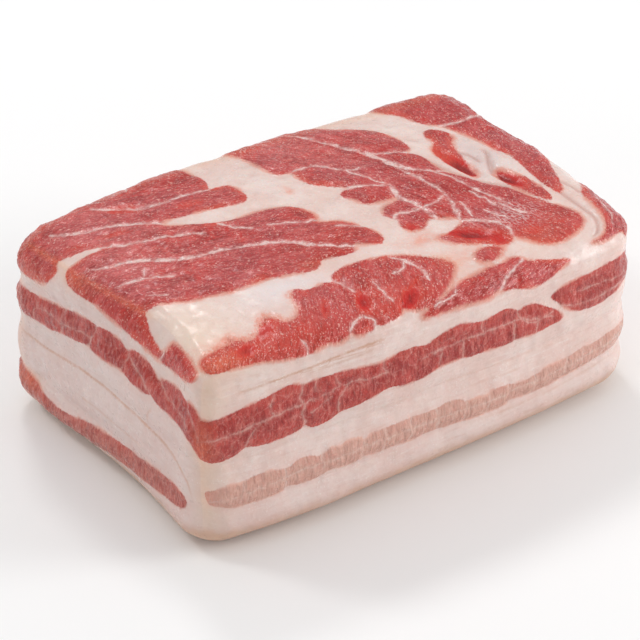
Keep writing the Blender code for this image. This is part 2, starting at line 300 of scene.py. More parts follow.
# White veins and seams: half-width in mm, then points
TOP_VEINS = [
    (0.46, [(6.2, 79), (9.4, 75), (13.5, 72.3), (18.9, 70.7), (24.4, 67.7), (28.9, 65), (31.6, 62.6)]),
    (0.42, [(21, 81.2), (24.4, 78.6), (28, 75.6), (32.5, 73.2), (37.1, 71.9), (42.5, 72.2), (47.1, 71.6), (53.4, 71.5)]),
    (0.44, [(12, 62.8), (16.2, 60), (20.7, 58), (26.2, 57.1), (30.7, 55.9), (34.4, 54.4), (38, 52.4)]),
    (0.50, [(4, 56.6), (7.1, 53.7), (11.6, 53.1), (15.3, 51.4), (19.8, 48.6), (24.4, 45.9), (28.9, 44.5), (35.3, 43.5),
            (40.7, 41.8), (46.2, 40), (51.6, 37.7), (55.3, 35), (57.5, 32.5), (60.7, 30), (64, 27.9), (68.4, 25.6)]),
    (0.28, [(2.6, 45.8), (6.2, 44.5), (10.7, 43.6), (15.3, 41.8), (18.6, 40.4)]),
    (0.11, [(11, 44.2), (12.6, 45.8), (14.6, 47.9)]),
    (0.20, [(5.5, 36.9), (8, 35.4), (10.5, 34.2)]),
    (0.32, [(43.2, 54.9), (44.6, 52.4), (46.4, 49.9), (49.6, 47.3)]),
    (0.24, [(53, 46.4), (58, 44.5), (62.2, 42.4), (66.8, 41.2)]),
    (0.20, [(67.6, 36.2), (71.4, 34.2), (75.2, 32.4)]),
    (0.22, [(-9.4, 24), (-7.6, 22.6), (-5.4, 22.2)]),
    (0.60, [(90.6, 79), (92.2, 76), (93.4, 73.6), (95.6, 68.6), (97.9, 64.1), (98.9, 60), (99.9, 55.6), (102, 50.9),
            (105.6, 47.3), (110.4, 44.9)]),
    (0.55, [(98.6, 57.5), (99.9, 54), (101.7, 51.2), (104, 48.6)]),
    (0.34, [(98.2, 63.9), (102, 61.8), (105.6, 60.5), (108.6, 59)]),
    (0.38, [(105.2, 47.6), (107.9, 43.6), (109.3, 39.1), (110.6, 33.6), (112, 28.2), (113.6, 22.9)]),
    (0.42, [(99.8, 53.4), (100.4, 47.3), (101.1, 41.8), (102.2, 36.4), (101.1, 30.9), (98.8, 25.5), (97.6, 21.9)]),
    (0.44, [(81.2, 50.9), (85.6, 49.5), (89.3, 48), (92.9, 46.4)]),
    (0.58, [(92.9, 46.8), (91.6, 42.7), (91.1, 39.1), (92.5, 35.5), (93.1, 30.9), (93.4, 26.6)]),
    (0.28, [(92.4, 46.9), (90.6, 50.9), (88.8, 55), (87, 58.6), (84.7, 62.3), (82.3, 65.4), (79.3, 66), (74, 65.9)]),
    (0.28, [(93.1, 32.6), (97.5, 33.2), (101.4, 34.6)]),
    (0.30, [(83.4, 31.4), (85, 33), (88.4, 32.4), (93, 32.4)]),
    (0.34, [(97.6, 23), (101.1, 20.9), (104.7, 18.2), (106.5, 14.5), (105.8, 11.2), (105.4, 9.8)]),
    (0.22, [(86.8, 58.8), (89.6, 57.6), (91.4, 58.2)]),
    (0.18, [(103.2, 30.4), (102.6, 26.2), (101.4, 22.6)]),
    (0.20, [(106.4, 24.6), (107.6, 20.8), (109.4, 17.4)]),
    (0.20, [(111.6, 25.4), (112.8, 20.6), (115.4, 16.6)]),
    (0.18, [(108.6, 33.8), (109.4, 29), (110.6, 24.2)]),
    (0.32, [(71.4, 19), (73.8, 16.2), (75.4, 12.6), (75.6, 9.4), (74.6, 6.6)]),
    (0.22, [(74, 15.6), (71.4, 13.2), (67.6, 12.4)]),
    (0.28, [(52.6, 17.6), (54.2, 14.4), (54.6, 11.2)]),
    (0.24, [(32.2, -2.6), (32.4, 0.4), (31.8, 2.9)]),
    (0.26, [(45.3, -1.6), (45.9, 0.7), (48, 2.7), (51, 3), (52.8, 1.1), (53, -1.6)]),
    (0.22, [(61.6, 13), (61, 8.4), (60.8, 4)]),
    (0.28, [(91.2, -4.6), (93.6, -2.6), (96.4, -0.4), (99.3, 1.2), (103.4, 3.3)]),
    (0.20, [(78.6, 0.2), (79.4, 2), (80.6, 3.8)]),
    (0.18, [(70.6, -1.4), (75, -0.6), (79, -0.2)]),
    (0.50, [(123.6, 69.4), (128.4, 68.6), (132.9, 69.5), (137.5, 71.4), (141.5, 73.6), (147.5, 76)]),
    (0.22, [(134.6, 2), (136.4, 7), (137.2, 13), (139.6, 19)]),
    (0.40, [(14, 88), (17.5, 91.6), (20, 96), (21, 99.6)]),
    (0.36, [(34, 84), (36, 89), (36.4, 94), (37.6, 99)]),
    (0.42, [(79, 101.6), (81, 96), (84, 90.6), (88.4, 85), (91, 79.6)]),
    (0.36, [(143, 40), (142, 52), (143.6, 63), (142.6, 72.4)]),
]
SIDE_VEINS = [
    (0.42, [(-0.5, 18.7), (5, 18.5), (12, 17.8), (20, 16.8), (27, 16.2), (31, 16.2), (38, 15.4), (45, 14.5)]),
    (0.24, [(45, 14.5), (50, 15.4), (56, 15.4)]),
    (0.34, [(66, 15.4), (72, 15), (80, 14.9), (88, 15.2), (95, 15.3), (99, 15.7), (103, 17), (108, 18.2), (112.4, 18.9)]),
    (0.28, [(12.6, 23.6), (13.4, 20.8), (15, 18.8), (17.4, 17.4)]),
    (0.26, [(20.8, 9.8), (20.8, 12.4), (19.8, 14.6), (21.4, 16.7)]),
    (0.30, [(29.4, 9.8), (29.6, 12.6), (29, 14.6), (30.4, 16.4)]),
    (0.44, [(30.2, 23.6), (30.2, 21), (29.4, 18.6), (30.6, 16.4)]),
    (0.20, [(34.2, 9.8), (33.6, 12.4), (34.6, 14.8)]),
    (0.24, [(40.4, 22.8), (40.2, 20), (41, 17.4), (43.4, 15)]),
    (0.18, [(31.4, 19.4), (35, 18.4), (38.6, 16.4)]),
    (0.20, [(40.6, 10), (40.2, 12.4), (41.4, 14.6)]),
    (0.18, [(54.6, 11), (54, 13.4), (55, 15.2)]),
    (0.18, [(62.4, 10.4), (62.8, 12.6)]),
    (0.22, [(79.8, 20.6), (79.4, 18), (80.2, 15.1)]),
    (0.20, [(72.2, 20.4), (72, 18), (72.8, 15.4)]),
    (0.22, [(86, 10.8), (86, 13), (87, 15)]),
    (0.28, [(98.8, 12.4), (98.6, 14.2), (100.2, 16.4), (103.6, 18.1), (107.4, 17.8), (110.4, 17.2)]),
    (0.22, [(97.2, 21.4), (96.4, 18.4), (97.4, 15.8)]),
    (0.18, [(104.8, 22.2), (104.4, 20.2), (105.2, 18.2)]),
    (0.36, [(111, 15.4), (114, 16.9), (118, 18), (124, 18.4), (132, 18.2), (140, 18), (150, 17.2), (162, 17.6), (176, 17.4), (190, 17.8)]),
    (0.20, [(118, 14.6), (126, 14.8), (133, 15.6), (139, 15.4)]),
    (0.30, [(-49.2, 10.4), (-49.6, 13.4), (-50.8, 16), (-51.8, 18.9)]),
    (0.28, [(-36.6, 12), (-35.4, 14.2), (-36.4, 16.4), (-38, 18.8)]),
    (0.28, [(-35.4, 13.6), (-31, 15), (-26.6, 16.4), (-22.6, 18.4)]),
    (0.30, [(-22.6, 13), (-19, 14.4), (-14, 15.2), (-8, 15.8), (-4.4, 16.8)]),
    (0.32, [(-6.6, 9.8), (-5.6, 12.4), (-3.2, 14.8), (-0.6, 17.4), (0.2, 18.8)]),
    (0.18, [(-62, 12.6), (-64, 15.4), (-63, 18), (-65, 20.6)]),
    (0.20, [(-77, 14.2), (-75.6, 17), (-77, 19.6), (-76, 22.4)]),
    (0.18, [(-75.8, 17.6), (-70, 17), (-64, 17.4), (-58, 16.4), (-51, 15.8)]),
    (0.30, [(-104, 13.6), (-105, 18), (-103.6, 22), (-105, 26)]),
    (0.34, [(-124, 12), (-122.6, 16), (-124.6, 20), (-123.4, 25)]),
    (0.26, [(-104, 18), (-112, 17.6), (-120, 18.6), (-132, 17.2), (-146, 18), (-158, 16.8)]),
    (0.30, [(-141, 12.4), (-142.4, 17), (-140.8, 23.4)]),
    (0.30, [(157, 11.4), (158.4, 15), (157.4, 18), (158.6, 23)]),
    (0.30, [(181, 13), (180, 16), (181.4, 18.6), (180.4, 23)]),
    (0.30, [(236, 10), (237.4, 14), (235.6, 18), (237, 23.2)]),
    (0.30, [(264, 12.8), (262.4, 16.6), (264, 22)]),
    (0.24, [(218, 17.6), (230, 17), (244, 17.8), (258, 17), (272, 19), (286, 19.8)]),
]
# the pale band's lobes: one seam along it and one across at each place
PALE_SEAM = [(2, 37.9), (6, 37.4), (12, 36.8), (20, 36.1), (30, 35.5), (40, 35.6), (50, 35.4), (60, 35.7), (70, 36), (82, 36.4),
             (95, 37), (110, 36.8), (124, 36.2), (138, 35.6), (160, 36), (185, 37), (210, 38.2), (232, 38.6)]
PALE_ACROSS = [11.4, 24.2, 35.4, 47.8, 54.6, 63.2, 72.2, 80.8, 88.4, 95.6, 104.4, 115, 121.4, 128.6, 137, 146, 156, 167, 179, 191, 203, 216, 226]

# thin tan fascia lines in the fat: strength, then points, in the side chart
FASCIA = [
    (1.0, [(8, 6.7), (16, 6.5), (24, 6.3), (32, 6), (40, 5.4), (47, 4.9), (56, 4.7)]),
    (0.5, [(30, 7.6), (42, 7.2), (52, 6.6)]),
    (0.9, [(-90, 28.8), (-82, 28.9), (-74, 29.1), (-66, 28.6), (-56, 27.8), (-46, 27.4), (-36, 27.4), (-26, 27.6), (-18, 28.1),
           (-11.5, 29.3), (-7.5, 31.3), (-5.2, 34), (-4.2, 37.5), (-3.8, 41)]),
    (0.45, [(-58, 35.6), (-50, 35), (-42, 35.2), (-34, 35), (-26, 34.6)]),
    (0.5, [(-21.5, 20.6), (-23.4, 23), (-24.6, 26.8)]),
    (0.3, [(72, 25.8), (82, 26.6), (92, 27.2), (104, 27.6), (116, 28.4)]),
    (0.3, [(80, 29.8), (90, 30.4), (100, 30.9)]),
    (0.35, [(84, 41.8), (96, 42.6), (110, 42.8), (122, 42.2), (134, 41)]),
    (0.5, [(140, 27), (156, 26), (172, 27.6), (190, 27), (206, 28.4), (222, 27.4), (240, 28.6), (260, 27.2)]),
    (0.5, [(-92, 30), (-106, 31.6), (-122, 31), (-140, 32.4), (-158, 31.4)]),
]
# blood-red hollows, darkened in their depths with painted shade: place, half length, half width, direction in degrees,
# depth in mm, redness (its high end is the painted shade)
TOP_HOLLOWS = [
    (25.0, 8.8, 4.6, 2.0, 35, 0.15, 0.56), (16.2, 4.8, 3.0, 1.5, 10, 0.4, 1.0), (44.2, 9.4, 3.2, 0.9, 52, 0.7, 0.55), (54.3, 7.2, 3.1, 1.4, 58, 0.8, 1.0),
    (66.2, 3.6, 4.2, 1.6, 32, 0.8, 1.0), (71, 7.2, 3.0, 0.9, 40, 0.6, 0.45), (96.4, 16.8, 5.6, 1.9, -38, 1.2, 1.25),
    (101.4, 12, 2.6, 1.9, -55, 0.7, 0.8), (85.4, 26.6, 2.0, 1.4, -20, 0.3, 0.6), (112, 10.4, 3.6, 1.9, -20, 0.5, 0.45),
    (115.8, 47.0, 6.8, 1.9, 94, 1.6, 1.4), (115.2, 55.6, 3.6, 1.6, 80, 1.0, 0.7), (121.8, 36.0, 5.6, 1.6, 100, 1.3, 1.3),
    (28, 77, 5, 1.2, -30, 0.2, 0.35), (18, 66, 5, 1.6, -20, 0.2, 0.35), (43, 67, 5, 2, -5, 0.2, 0.35), (129.4, 51, 5, 1.2, 95, 0.4, 0.5),
    (8, 67.5, 4, 1.4, -30, 0.2, 0.3), (40, 24.8, 7, 1.2, -10, 0.0, 0.2), (26, 76, 6, 1.6, -40, 0.2, 0.4),
]
# creases in the fat, sunk into the surface and darkened with painted shade: half-width, depth, then points
TOP_CREASES = [
    (0.8, 0.7, [(119.6, 37.5), (121.4, 42.2), (123, 46), (125, 49.6), (126.4, 54)]),
    (0.8, 0.45, [(128.6, 27), (129.4, 21), (129.8, 14), (130.2, 7), (128.6, 2.2), (124.5, 0)]),
    (0.7, 0.35, [(118.6, 57), (120.6, 51), (121, 45)]),
    (0.7, 0.4, [(131.6, 29), (133.6, 24), (134.2, 19)]),
    (0.9, 0.5, [(109.8, 56), (110.2, 48), (112.6, 42.4), (118.6, 32.6), (122.6, 22.6)]),
]

# ---------------------------------------------------------------- the fine mesh
NX, NY, NZ, COARSE = 216, 141, 83, 3


def block_grid():
    """A plain block's surface as a grid about 0.65 mm fine, three times coarser underneath."""
    i, j, k = np.meshgrid(np.arange(NX + 1), np.arange(NY + 1), np.arange(NZ + 1), indexing="ij")
    edge_x, edge_y = (i == 0) | (i == NX), (j == 0) | (j == NY)
    keep = edge_x | edge_y | (k == NZ) | ((k == 0) & (i % COARSE == 0) & (j % COARSE == 0))
    number = np.full(keep.shape, -1, np.int64)
    number[keep] = np.arange(keep.sum())
    points = np.stack([i[keep] / NX * LENGTH - LENGTH / 2, j[keep] / NY * WIDTH - WIDTH / 2, k[keep] / NZ * THICK], 1)

    def quads(n, flip):
        q = np.stack([n[:-1, :-1], n[1:, :-1], n[1:, 1:], n[:-1, 1:]], -1).reshape(-1, 4)
        return q[:, ::-1] if flip else q

    faces = np.vstack([
        quads(number[:, :, NZ], False), quads(number[:, 0, :], False), quads(number[:, NY, :], True),
        quads(number[0, :, :], True), quads(number[NX, :, :], False)]).tolist()
    base = number[:, :, 0]
    for a in range(0, NX, COARSE):
        for b in range(0, NY, COARSE):
            a2, b2 = a + COARSE, b + COARSE
            ring = [(a, y) for y in (range(b, b2) if a == 0 else (b,))]
            ring += [(x, b2) for x in (range(a, a2) if b2 == NY else (a,))]
            ring += [(a2, y) for y in (range(b2, b, -1) if a2 == NX else (b2,))]
            ring += [(x, b) for x in (range(a2, a, -1) if b == 0 else (a2,))]
            faces.append([int(base[x, y]) for x, y in ring])
    return points, faces


def vertex_normals(points, faces):
    quads = np.array([f[:4] for f in faces])
    cross = np.cross(points[quads[:, 2]] - points[quads[:, 0]], points[quads[:, 3]] - points[quads[:, 1]])
    normal = np.zeros_like(points)
    for corner in range(4):
        np.add.at(normal, quads[:, corner], cross)
    return normal / np.maximum(np.linalg.norm(normal, axis=1, keepdims=True), 1e-12)


# ---------------------------------------------------------------- what each point is made of
def vein_channels(charts, veins):
    """Side-signed distance to the nearest vein and its half-width, in as many channels as keep
    neighbouring veins apart, so that each line stays sharp between grid points."""
    channels, out = [], []
    for kind, half, points in veins:
        line = curve(points)
        for members in channels:
            if all(kind != other or np.sqrt(((line[:, None] - far[None]) ** 2).sum(2)).min() > 3.4
                   for other, far in members[1]):
                break
        else:
            members = ([], [])
            channels.append(members)
        members[0].append((kind, half, line))
        members[1].append((kind, line))
    for members, _ in channels:
        size = len(charts["all"])
        near, side, width = np.full(size, 9.0), np.full(size, 9.0), np.zeros(size)
        for kind, half, line in members:
            index, px, py = charts[kind]
            lo, hi = line.min(0) - 2.2, line.max(0) + 2.2
            for shift in ((0.0,) if kind == "top" else (-ROUND, 0.0, ROUND)):
                inside = np.nonzero((px + shift > lo[0]) & (px + shift < hi[0]) & (py > lo[1]) & (py < hi[1]))[0]
                if not len(inside):
                    continue
                d, s, t = nearest(px[inside] + shift, py[inside], line, False)
                at = index[inside]
                closer = d < near[at]
                at, d, s, t = at[closer], d[closer], s[closer], t[closer]
                near[at], side[at] = d, s * d
                ends = smooth(t, 0.0, 0.10) * smooth(1 - t, 0.0, 0.10)
                width[at] = half * (0.35 + 0.65 * ends) * smooth(d, 1.9, 1.2) * (1 - 0.999 * (t <= 0) * (d > 0.4)) * (1 - 0.999 * (t >= 1) * (d > 0.4))
        out.append((np.clip(side, -3, 3), width))
    return out


def describe(c):
    """Every attribute of the block-surface points c, as a dict of arrays."""
    n = len(c)
    x, y, z = c.T
    a, b, w = x + LENGTH / 2, y + WIDTH / 2, THICK - z
    tiny = 1e-6
    on_top = w < tiny
    front, back = (b < tiny) & ~on_top, (b > WIDTH - tiny) & ~on_top
    left, right = (a < tiny) & ~on_top & ~front & ~back, (a > LENGTH - tiny) & ~on_top & ~front & ~back
    wall = front | back | left | right
    base = ~on_top & ~wall
    chart_a = np.where(left, -w, np.where(right, LENGTH + w, a))
    chart_b = np.where(front, -w, np.where(back, WIDTH + w, b))
    round_p = np.where(front, a, np.where(right, LENGTH + b, np.where(back, 2 * LENGTH + WIDTH - a, -b)))
    cap = np.nonzero(on_top | (wall & (w < 13)))[0]
    rim = np.nonzero(wall)[0]
    charts = {"all": a, "top": (cap, chart_a[cap], chart_b[cap]), "side": (rim, round_p[rim], w[rim])}

    # lean, and which muscle it belongs to
    lean = np.full(n, -4.0)
    grain = np.zeros(n)
    owner = np.full(n, -4.0)
    for number, points in enumerate(TOP_AREAS):
        d = area_distance(chart_a[cap], chart_b[cap], points)
        better = d > owner[cap]
        owner[cap[better]] = d[better]
        grain[cap[better]] = math.radians(AREA_GRAIN[number] if number < len(AREA_GRAIN) else 75)
    lean = np.maximum(lean, owner)
    top_own = owner.copy()
    side_d = []
    for points in SIDE_AREAS:
        d = np.full(n, -4.0)
        for shift in (-ROUND, 0.0, ROUND):
            d[rim] = np.maximum(d[rim], area_distance(round_p[rim] + shift, w[rim], points))
        side_d.append(d)
    pale_d, low_d = side_d[3], side_d[4]
    sides = np.maximum.reduce(side_d)
    lean = np.maximum(lean, sides)
    sided = smooth(sides - top_own, -0.5, 0.5)
    pale = smooth(pale_d - np.maximum.reduce([top_own, side_d[0], side_d[1], side_d[2], low_d]), -0.3, 0.3) * (pale_d > -3)
    low = smooth(low_d - np.maximum.reduce([top_own, side_d[0], side_d[1], side_d[2], pale_d]), -0.3, 0.3) * (low_d > -3)

    veins = [("top", h, p) for h, p in TOP_VEINS] + [("side", h, p) for h, p in SIDE_VEINS]
    veins.append(("side", 0.34, PALE_SEAM))
    for number, p in enumerate(PALE_ACROSS):
        lean_in = 0.9 * math.sin(number * 2.3)
        veins.append(("side", 0.16 + 0.09 * (number * 37 % 10) / 10, [(p - lean_in, 31.4), (p + 0.5 * math.cos(number * 1.7), 34),
                      (p - 0.3 * lean_in, 36.6), (p + lean_in, 42)]))
    channels = vein_channels(charts, veins)

    fascia = np.zeros(n)
    fascia_side = np.full(n, 3.0)
    near = np.full(n, 9.0)
    for strength, points in FASCIA:
        line = curve(points)
        for shift in (-ROUND, 0.0, ROUND):
            px, py = round_p[rim] + shift, w[rim]
            lo, hi = line.min(0) - 2, line.max(0) + 2
            inside = np.nonzero((px > lo[0]) & (px < hi[0]) & (py > lo[1]) & (py < hi[1]))[0]
            if not len(inside):
                continue
            d, s, t = nearest(px[inside], py[inside], line, False)
            at = rim[inside]
            closer = d < near[at]
            at, d, s, t = at[closer], d[closer], s[closer], t[closer]
            near[at], fascia_side[at] = d, s * d
            fascia[at] = strength * smooth(t, 0, 0.12) * smooth(1 - t, 0, 0.12) * smooth(d, 1.8, 1.0)

    red, hollow = np.zeros(n), np.zeros(n)
    for ha, hb, long, short, turn, depth, redness in TOP_HOLLOWS:
        ca, sa = math.cos(math.radians(turn)), math.sin(math.radians(turn))
        da, db = chart_a[cap] - ha, chart_b[cap] - hb
        e = np.exp(-(((da * ca + db * sa) / (1.12 * long)) ** 2) - ((-da * sa + db * ca) / (1.2 * short)) ** 2)
        hollow[cap] = np.maximum(hollow[cap], depth * e)
        red[cap] = np.maximum(red[cap], redness * e)
    red = np.maximum(red, 0.20 * left * hump(w, 5.5, 4.0) * smooth(b, 20, 26) * smooth(b, 60, 52))
    # painted shade along the creases, for the colour
    painted_crease = np.zeros(n)
    crease_depth = np.zeros(n)
    for half, depth, points in TOP_CREASES:
        d, _, t = nearest(chart_a[cap], chart_b[cap], curve(points), False)
        g = np.exp(-((d / half) ** 2)) * smooth(t, 0, 0.15) * smooth(1 - t, 0, 0.15)
        painted_crease[cap] = np.maximum(painted_crease[cap], g)
        crease_depth[cap] = np.maximum(crease_depth[cap], g * depth)

    # orange translucence at thin cut edges, and cream in the fat of the front left plateau
    top_wall = wall & (w < 13)
    glow = np.zeros(n)
    glow = np.maximum(glow, 1.0 * hump(chart_a, 7.5, 7.0) * hump(chart_b, 3.2, 3.6) * (on_top | top_wall))
    glow = np.maximum(glow, 0.9 * (on_top | left) * hump(chart_a, -0.4, 1.6) * smooth(b, 26, 36))
    glow = np.maximum(glow, 0.9 * (on_top | left) * hump(chart_a, -2.0, 3.4) * hump(b, 60, 7))
    glow = np.maximum(glow, 0.45 * (left | on_top) * hump(chart_a, -8, 4) * smooth(b, 68, 74))
    glow = np.maximum(glow, 0.6 * (chart_b > 60) * hump(chart_b, 86.5, 3.2))
    glow = np.maximum(glow, 0.45 * on_top * hump(a, 52, 4) * hump(b, 25, 2.2))
    glow = np.maximum(glow, 0.45 * on_top * hump(a, 84, 3.5) * hump(b, 10, 4))
    glow = np.maximum(glow, 0.35 * on_top * hump(a, 112, 8) * hump(b, 7, 4))
    glow = np.maximum(glow, 0.5 * on_top * hump(a, 115, 2) * hump(b, 55, 5))
    near_edge = hump(round_p, 0.8, 3.2) * wall
    glow = np.maximum(glow, near_edge * (0.5 * hump(w, 37, 5.5) + 0.35 * hump(w, 4, 5) + 0.95 * hump(w, 21, 8)))
    glow = np.maximum(glow, 0.9 * hump(round_p, -81, 4.5) * hump(w, 42.5, 3) * wall)
    blush = np.zeros(n)
    blush = np.maximum(blush, 0.75 * on_top * hump(a, 83.5, 5.5) * hump(b, 21, 2.6))
    blush = np.maximum(blush, 0.8 * on_top * hump(a, 68.4, 1.5) * hump(b, 58.4, 2.4))
    blush = np.maximum(blush, 0.5 * on_top * hump(a, 87.5, 6) * hump(b, 10, 3.5))
    blush = np.maximum(blush, 0.4 * on_top * hump(a, 10, 9) * hump(b, 10.5, 3))
    diffuse = (on_top | top_wall) * np.maximum.reduce([hump(chart_a, 14, 10) * hump(chart_b, 9.5, 3.6), 0.9 * hump(chart_a, 27, 6) * hump(chart_b, 13.5, 4.0),
                                                       0.6 * hump(chart_a, 37, 4) * hump(chart_b, 18, 3), 0.5 * hump(a, 84, 5) * hump(b, 14, 5)])
    cream = (on_top | top_wall) * hump(chart_a, 4, 15) * hump(chart_b, 15, 17)
    cream = np.maximum(cream, hump(round_p, 1.5, 6) * wall * 0.9)
    # cooler grey fat in two patches; the patch on the flap by the folds is painted shade
    cool = on_top * np.maximum(hump(a, 40, 13) * hump(b, 20.5, 5.5), 0.6 * hump(a, 122, 7) * hump(b, 48, 14))
    warm = (on_top | top_wall) * np.maximum.reduce([hump(chart_a, 24, 26) * hump(chart_b, 3, 12), 0.8 * hump(chart_a, 62, 22) * hump(chart_b, 4, 10),
                                                    0.8 * hump(chart_a, 118, 8) * hump(chart_b, 12, 7), 0.6 * hump(chart_a, 97, 12) * hump(chart_b, 13, 5),
                                                    0.5 * hump(chart_a, 60, 16) * hump(chart_b, 32, 7)])
    # painted shade on the fat: the shadowed flap between the folds, the whole left end and the foot of the front
    flap_and_shade = np.maximum(on_top * hump(chart_a, 121.5, 4.5) * hump(chart_b, 49, 10), np.maximum(0.6 * left, 0.4 * front * smooth(w, 40, 47)))
    deep = on_top * np.maximum(hump(a, 113, 15) * hump(b, 30, 20), 0.9 * hump(a, 128, 15) * hump(b, 78, 17))
    milky = on_top * np.maximum(hump(a, 12, 15) * hump(b, 62, 24), 0.7 * hump(a, 84, 16) * hump(b, 77, 15))
    # painted highlight: where the top gets near-white glints
    glint = on_top * np.maximum(hump(a, 112, 7) * hump(b, 18.5, 5), 0.35 * hump(a, 101, 4) * hump(b, 20, 4))
    skin = np.where(base, 1.0, wall * smooth(w + 1.6 * (noise(c[:, 0] / 9, c[:, 1] / 9, c[:, 2] / 9, 5) - 0.5) - 3.4 * hump(round_p, -64, 26), 46.4, 50.2))
    # the foot of the sides browner and darker downwards: painted shade with the skin's own brown
    brown_foot_shade = wall * smooth(w - 3.0 * hump(round_p, -64, 26), 44.0, 48.5)

    out = dict(lean=lean, sided=sided, pale=pale, low=low, red=red, painted_crease=painted_crease, glow=glow, blush=blush, cream=cream,
               cool=cool, glint=glint, diffuse=diffuse, flap_and_shade=flap_and_shade, warm=warm, deep=deep, milky=milky, skin=skin, brown_foot_shade=brown_foot_shade, fascia=fascia, fascia_side=np.clip(fascia_side, -3, 3))
    for number, (side, width) in enumerate(channels):
        out[f"vein{number}"], out[f"width{number}"] = side, width
    shape = dict(hollow=hollow, crease_depth=crease_depth, near_vein=np.maximum.reduce(
        [width * np.exp(-((side / 0.7) ** 2)) for side, width in channels]), wall=wall, base=base, w=w, a=chart_a, b=chart_b)
    return out, shape, grain, len(channels)


def relief(c, facts, shape):
    """How far each point stands out from the smooth slab, in mm."""
    x, y, z = c.T
    lean = facts["lean"]
    body = smooth(lean, -0.3, 1.6)
    lumps = noise(x / 5.5, y / 5.5, z / 5.5, 1) - 0.5
    fine = noise(x / 2.2, y / 2.2, z / 2.2, 2) - 0.5
    grit = noise(x / 1.35, y / 1.35, z / 1.35, 4) - 0.5
    broad = noise(x / 17, y / 17, z / 17, 3) - 0.5
    out = 0.24 * smooth(lean, -0.9, 0.9) + 0.28 * smooth(lean, 0.3, 2.8)
    out = out + body * (0.50 * lumps + 0.32 * fine + 0.34 * grit) + (1 - body) * (0.34 * lumps + 0.12 * fine + 0.05 * grit) + 0.9 * broad
    out = out - 0.7 * shape["near_vein"] - shape["hollow"] * 1.25 - shape["crease_depth"] * 1.0
    out = out - 0.12 * facts["fascia"] * np.exp(-((facts["fascia_side"] / 0.6) ** 2))
    # the flap of fat between the folds and the strip along the right end
    flap_and_shade = hump(shape["a"], 123.5, 3.6) * hump(shape["b"], 47, 13)
    out = out + 0.9 * flap_and_shade * smooth(lean, 0.6, -0.6)
    # the plateau of fat at the front left
    out = out + 0.45 * hump(shape["a"], 14, 22) * hump(shape["b"], 20, 9) * smooth(lean, 0.4, -0.8)
    return out * np.where(shape["base"], 0.0, smooth(z, 0.4, 5.0))


def fibre_places(mesh, c, grain, sided):
    """For each face corner, its place along and across the fibres of the muscle that the face belongs to."""
    loops = np.zeros(len(mesh.loops), np.int32)
    mesh.loops.foreach_get("vertex_index", loops)
    start, total = np.zeros(len(mesh.polygons), np.int32), np.zeros(len(mesh.polygons), np.int32)
    mesh.polygons.foreach_get("loop_start", start)
    mesh.polygons.foreach_get("loop_total", total)
    first = loops[start]
    middle = np.add.reduceat(c[loops], start) / total[:, None]
    a, b, w = middle[:, 0] + LENGTH / 2, middle[:, 1] + WIDTH / 2, THICK - middle[:, 2]
    close = 1e-4
    front, back, left, right = b < close, b > WIDTH - close, a < close, a > LENGTH - close
    wall = front | back | left | right
    run = wall & (sided[first] > 0.5)
    turn = grain[first]
    face = np.repeat(np.arange(len(start)), total)
    a, b, w = c[loops, 0] + LENGTH / 2, c[loops, 1] + WIDTH / 2, THICK - c[loops, 2]
    front, back, left, right, wall, run, turn = (v[face] for v in (front, back, left, right, wall, run, turn))
    chart_a = np.where(left, -w, np.where(right, LENGTH + w, a))
    chart_b = np.where(front, -w, np.where(back, WIDTH + w, b))
    around = np.where(front, a, np.where(right, LENGTH + b, np.where(back, 2 * LENGTH + WIDTH - a, -b)))
    along = np.where(run, w, chart_a * np.cos(turn) + chart_b * np.sin(turn))
    across = np.where(run, around, -chart_a * np.sin(turn) + chart_b * np.cos(turn))
    return np.stack([along, across, np.where(wall, 40.0, 0.0) + 7.0 * turn], 1)


def slab_object():
    c, faces = block_grid()
    points = slab_points(c)
    facts, shape, grain, count = describe(c)
    normal = vertex_normals(points, faces)
    points = points + normal * relief(c, facts, shape)[:, None]
    points[:, 2] = np.maximum(points[:, 2], 0.0)
    mesh = bpy.data.meshes.new("slab")
    mesh.from_pydata((points / 1000.0).tolist(), [], faces)
    for name, values in facts.items():
        mesh.attributes.new(name, "FLOAT", "POINT").data.foreach_set("value", np.asarray(values, np.float32))
    fibre = fibre_places(mesh, c, grain, facts["sided"])
    mesh.attributes.new("fibre", "FLOAT_VECTOR", "CORNER").data.foreach_set("vector", fibre.astype(np.float32).ravel())
    mesh.shade_smooth()
    mesh.update()
    slab = bpy.data.objects.new("slab", mesh)
    bpy.context.scene.collection.objects.link(slab)
    return slab, count


